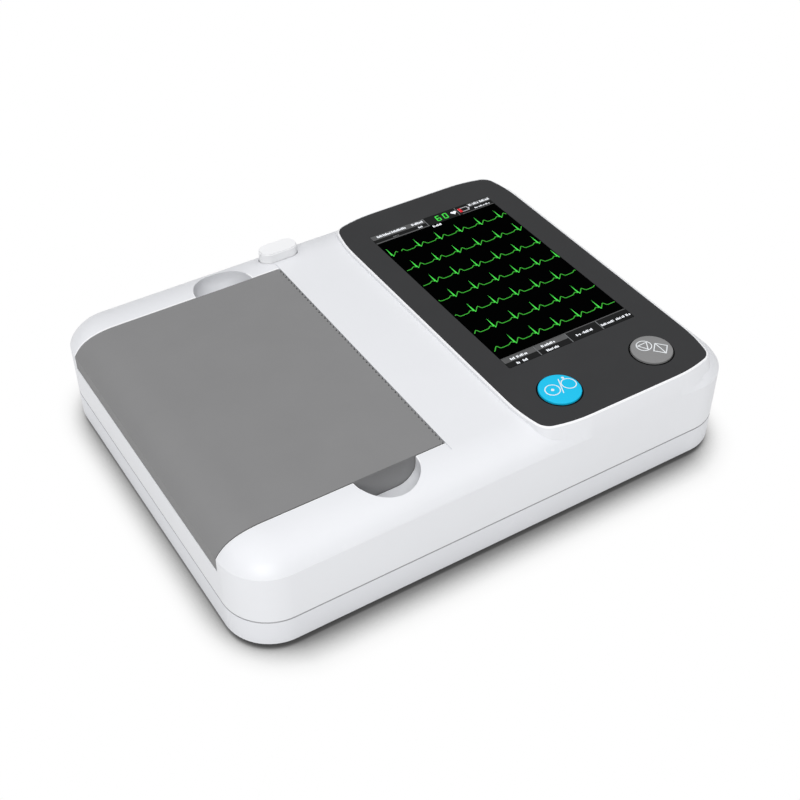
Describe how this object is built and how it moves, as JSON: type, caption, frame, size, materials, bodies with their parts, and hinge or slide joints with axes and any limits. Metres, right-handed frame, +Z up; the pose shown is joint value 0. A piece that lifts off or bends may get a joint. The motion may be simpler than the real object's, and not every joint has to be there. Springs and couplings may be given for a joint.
{
  "type": "ecg machine",
  "caption": "Portable ECG recorder: flat white case, touch display and round keys in a dark fascia, grey hinged lid over a chart paper roll with a thermal printer",
  "frame": {"origin": "On the surface that the feet stand on, under the middle of the case's plan", "axes": "+X left to right along the front, +Y from the front to the back, +Z up"},
  "size_m": [0.256, 0.196, 0.0566],
  "materials": {
    "case_white": "fine satin moulded ABS",
    "base_white": "fine satin moulded ABS",
    "lid_grey": "fine spark-eroded texture, satin",
    "fascia_dark": "hard-coated polycarbonate film, fine matte",
    "display_glass": "hard-coated touch glass over a black display",
    "key_blue": "satin painted cap",
    "key_grey": "satin painted cap",
    "key_white": "satin moulded ABS",
    "black_rubber": "moulded rubber",
    "spring_steel": "drawn wire",
    "steel": "ground or pressed, zinc plated",
    "aluminium": "extruded, plain",
    "brass": "turned",
    "acetal": "natural acetal",
    "head_ceramic": "glazed ceramic plate",
    "black_plastic": "moulded plastic",
    "tray_white": "satin moulded ABS",
    "spindle_grey": "satin moulded ABS",
    "chart_paper": "thermal chart paper, wound",
    "core_board": "wound kraft board",
    "circuit_green": "solder mask",
    "circuit_tan": "phenolic board",
    "film_amber": "polyimide film",
    "battery_wrap": "shrink sleeve",
    "connector_steel": "tin plated"
  },
  "bodies": {
    "case": {"lower_case": "base_white", "upper_case": "case_white", "feet": "black_rubber", "case_screws": "steel", "fascia_panel": "fascia_dark", "fascia_adhesive": "black_plastic", "touch_glass": "display_glass", "lcd_module": "black_plastic", "lcd_bracket": "steel", "lcd_ribbon": "film_amber", "start_spring": "spring_steel", "power_spring": "spring_steel", "button_board": "circuit_green", "key_switches": "black_plastic", "hinge_pins": "steel", "printer_chassis": "steel", "head_springs": "spring_steel", "head_ribbon": "film_amber", "idler_pin": "steel", "stepper_motor": "steel", "release_spring": "spring_steel", "paper_tray": "tray_white", "main_board": "circuit_green", "main_board_parts": "black_plastic", "shield_can": "connector_steel", "board_screws": "steel", "power_board": "circuit_tan", "power_parts": "black_plastic", "mains_inlet": "black_plastic", "patient_connector": "connector_steel", "connector_studs": "steel", "usb_port": "connector_steel", "network_port": "connector_steel", "ground_stud": "brass", "battery_pack": "battery_wrap", "battery_door": "base_white", "door_screws": "steel", "speaker": "black_plastic"},
    "lid": {"paper_lid": "lid_grey", "platen_bracket": "steel", "platen_bushes": "acetal"},
    "platen": {"platen_shaft": "steel", "platen_roller": "black_rubber", "platen_gear": "acetal"},
    "idler": {"idler_gear": "acetal"},
    "motor_rotor": {"motor_pinion": "brass"},
    "paper": {"paper_spindle": "spindle_grey", "paper_core": "core_board", "paper_roll": "chart_paper"},
    "head": {"print_head": "head_ceramic", "head_heat_sink": "aluminium"},
    "release": {"release_button": "key_white"},
    "latch": {"latch_shaft": "steel", "latch_hooks": "steel", "latch_lever": "steel"},
    "start_key": {"start_button": "key_blue"},
    "power_key": {"power_button": "key_grey"}
  },
  "joints": [
    {"name": "lid_hinge", "type": "hinge", "parent": "case", "child": "lid", "pos_m": [-0.1248, 0, 0.0387], "axis": [0, -1, 0], "range_deg": [0, 80]},
    {"name": "platen_spin", "type": "hinge", "parent": "lid", "child": "platen", "pos_m": [-0.0275, 0, 0.041], "axis": [0, -1, 0], "continuous": true},
    {"name": "idler_spin", "type": "hinge", "parent": "case", "child": "idler", "pos_m": [-0.01601, -0.0685, 0.03136], "axis": [0, -1, 0], "continuous": true},
    {"name": "motor_spin", "type": "hinge", "parent": "case", "child": "motor_rotor", "pos_m": [-0.01001, -0.06, 0.02097], "axis": [0, -1, 0], "continuous": true},
    {"name": "paper_spin", "type": "hinge", "parent": "case", "child": "paper", "pos_m": [-0.08, 0, 0.027], "axis": [0, -1, 0], "continuous": true},
    {"name": "head_float", "type": "slide", "parent": "case", "child": "head", "axis": [0, 0, -1], "range_m": [0, 0.0008], "stiffness_N_per_m": 4000, "deforming": ["head_springs"]},
    {"name": "release_press", "type": "slide", "parent": "case", "child": "release", "axis": [0, 0, -1], "range_m": [0, 0.0025], "stiffness_N_per_m": 900, "deforming": ["release_spring"]},
    {"name": "latch_turn", "type": "hinge", "parent": "case", "child": "latch", "pos_m": [-0.023, 0.011, 0.026], "axis": [0, 1, 0], "range_deg": [0, 15.75]},
    {"name": "start_press", "type": "slide", "parent": "case", "child": "start_key", "axis": [0, 0, -1], "range_m": [0, 0.0006], "stiffness_N_per_m": 1500, "deforming": ["start_spring"]},
    {"name": "power_press", "type": "slide", "parent": "case", "child": "power_key", "axis": [0, 0, -1], "range_m": [0, 0.0006], "stiffness_N_per_m": 1500, "deforming": ["power_spring"]}
  ],
  "couplings": [
    {"joint": "platen_spin", "follows": "paper_spin", "ratio": 3.25},
    {"joint": "idler_spin", "follows": "paper_spin", "ratio": -2.8438},
    {"joint": "motor_spin", "follows": "paper_spin", "ratio": 5.6875},
    {"joint": "latch_turn", "follows": "release_press", "rad_per_m": 109.89}
  ]
}
